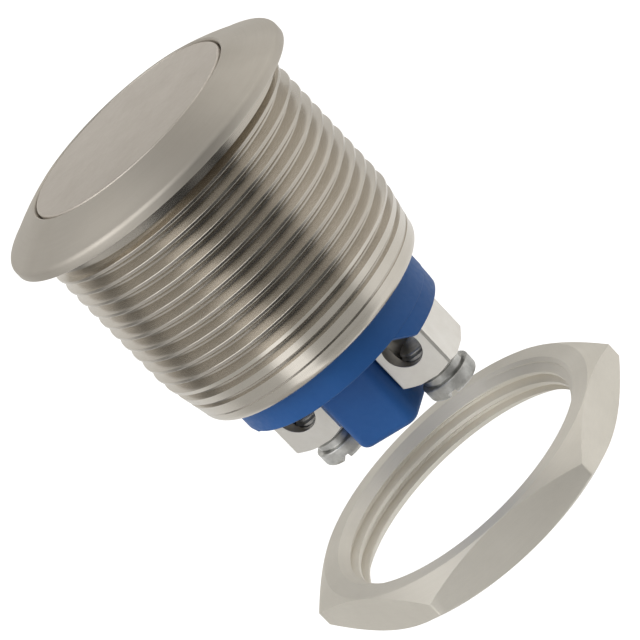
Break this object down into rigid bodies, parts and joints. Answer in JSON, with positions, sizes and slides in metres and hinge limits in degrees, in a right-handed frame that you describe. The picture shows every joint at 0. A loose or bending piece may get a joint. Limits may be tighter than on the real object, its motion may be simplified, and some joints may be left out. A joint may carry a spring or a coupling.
{
  "type": "push button switch",
  "caption": "Round flush vandal-resistant push button with a bevelled metal bezel, long threaded barrel, blue base with screw terminals and a thin hexagon nut taken off.",
  "frame": {"origin": "centre of the flange's underside, in the plane that seats on the panel", "axes": "+Z along the barrel's axis, out of the panel towards the finger; the two terminals stand on the X axis"},
  "size_m": [0.022, 0.0254, 0.0341],
  "materials": {
    "satin_nickel": "satin, nickel plated",
    "bright_steel": "bright",
    "zinc_steel": "dull zinc",
    "plated_brass": "nickel plated, satin",
    "copper_strip": "bare copper alloy",
    "contact_silver": "silver",
    "blue_plastic": "moulded, satin",
    "black_plastic": "moulded",
    "white_plastic": "moulded",
    "black_rubber": "matte"
  },
  "bodies": {
    "housing": {"housing": "satin_nickel", "contact_guide": "black_plastic", "return_spring": "bright_steel", "fixed_contact_left": "copper_strip", "fixed_contact_right": "copper_strip", "fixed_tip_left": "contact_silver", "fixed_tip_right": "contact_silver", "base": "blue_plastic", "base_seal": "black_rubber", "terminal_left": "plated_brass", "terminal_right": "plated_brass"},
    "actuator": {"actuator": "satin_nickel", "actuator_seal": "black_rubber", "plunger": "white_plastic", "bridge_clip": "bright_steel", "contact_spring": "bright_steel"},
    "bridge": {"contact_bridge": "copper_strip", "moving_tip_left": "contact_silver", "moving_tip_right": "contact_silver"},
    "screw_left": {"terminal_screw_left": "zinc_steel"},
    "screw_right": {"terminal_screw_right": "zinc_steel"},
    "nut": {"mounting_nut": "satin_nickel"}
  },
  "joints": [
    {"name": "press", "type": "slide", "parent": "housing", "child": "actuator", "axis": [0, 0, -1], "range_m": [0, 0.002], "stiffness_N_per_m": 600, "springref_m": -0.005, "deforming": ["return_spring"]},
    {"name": "bridge_float", "type": "slide", "parent": "actuator", "child": "bridge", "axis": [0, 0, 1], "range_m": [0, 0.00075], "deforming": ["contact_spring"]},
    {"name": "screw_left_turn", "type": "slide", "parent": "housing", "child": "screw_left", "axis": [0, 0, 1], "range_m": [-0.0011, 0.00085]},
    {"name": "screw_right_turn", "type": "slide", "parent": "housing", "child": "screw_right", "axis": [0, 0, 1], "range_m": [-0.0011, 0.00085]},
    {"name": "nut_travel", "type": "slide", "parent": "housing", "child": "nut", "axis": [0, 0, 1], "range_m": [0, 0.028]}
  ],
  "couplings": [
    {"joint": "bridge_float", "follows": "press", "ratio": 0.375}
  ]
}
